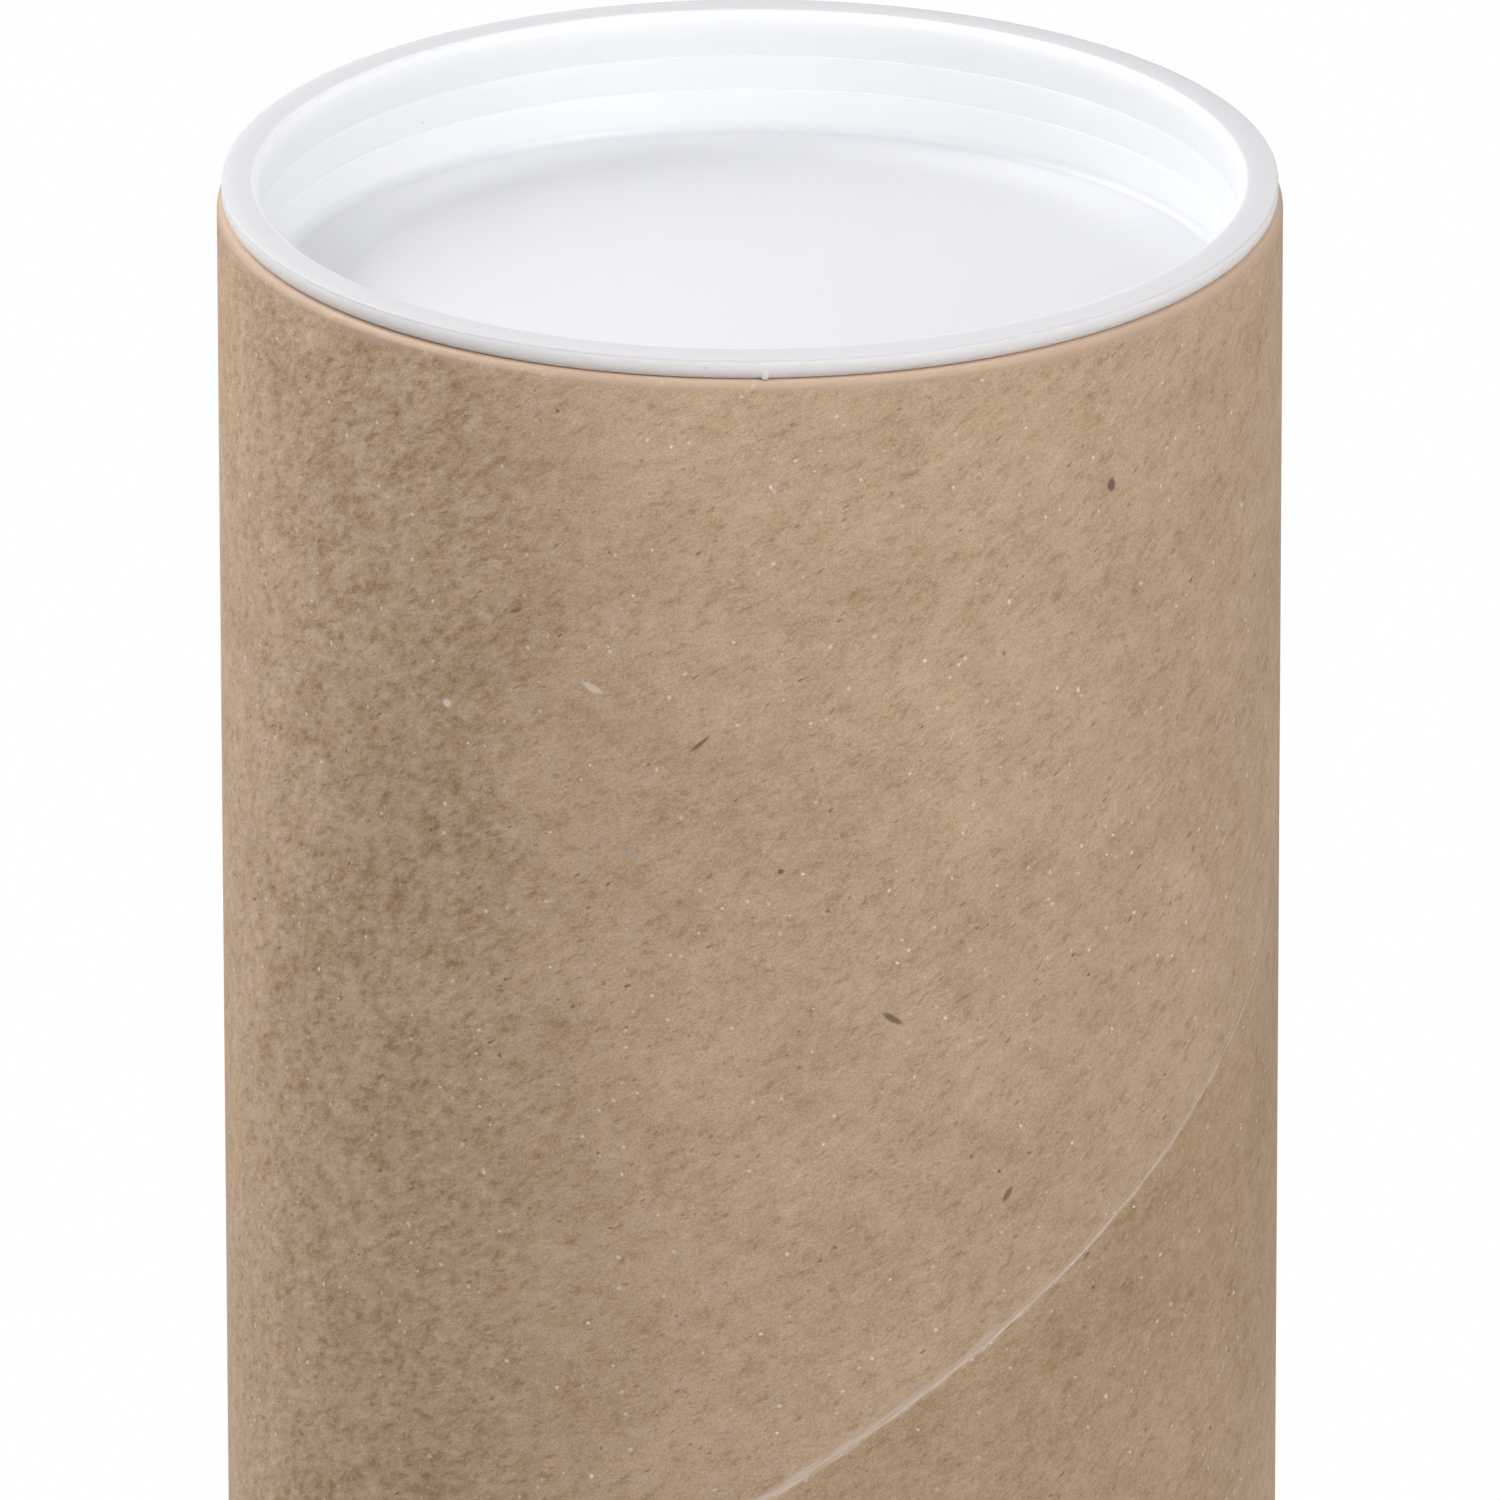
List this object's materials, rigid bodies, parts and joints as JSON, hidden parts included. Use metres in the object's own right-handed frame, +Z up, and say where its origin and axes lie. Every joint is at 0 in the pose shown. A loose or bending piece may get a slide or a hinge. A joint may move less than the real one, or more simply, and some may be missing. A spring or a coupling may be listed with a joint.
{
  "type": "cardboard mailing tube",
  "caption": "Spiral wound kraft paper tube with a white plastic plug cap pushed into each end, for posting and storing rolled papers.",
  "frame": {"origin": "middle of the lower cap's face, on the surface that the tube stands on", "axes": "+Z up along the tube, -Y towards the front, where the outer seam crosses 118.6 mm below the upper end"},
  "size_m": [0.1056, 0.1056, 0.614],
  "materials": {
    "kraft_board": "matt, fibrous",
    "cap_plastic": "smooth, slightly waxy"
  },
  "bodies": {
    "tube": {"tube": "kraft_board"},
    "top_cap": {"top_cap": "cap_plastic"},
    "bottom_cap": {"bottom_cap": "cap_plastic"}
  },
  "joints": [
    {"name": "top_cap_pull", "type": "slide", "parent": "tube", "child": "top_cap", "axis": [0, 0, 1], "range_m": [0, 0.04]},
    {"name": "bottom_cap_pull", "type": "slide", "parent": "tube", "child": "bottom_cap", "axis": [0, 0, -1], "range_m": [0, 0.04]}
  ]
}
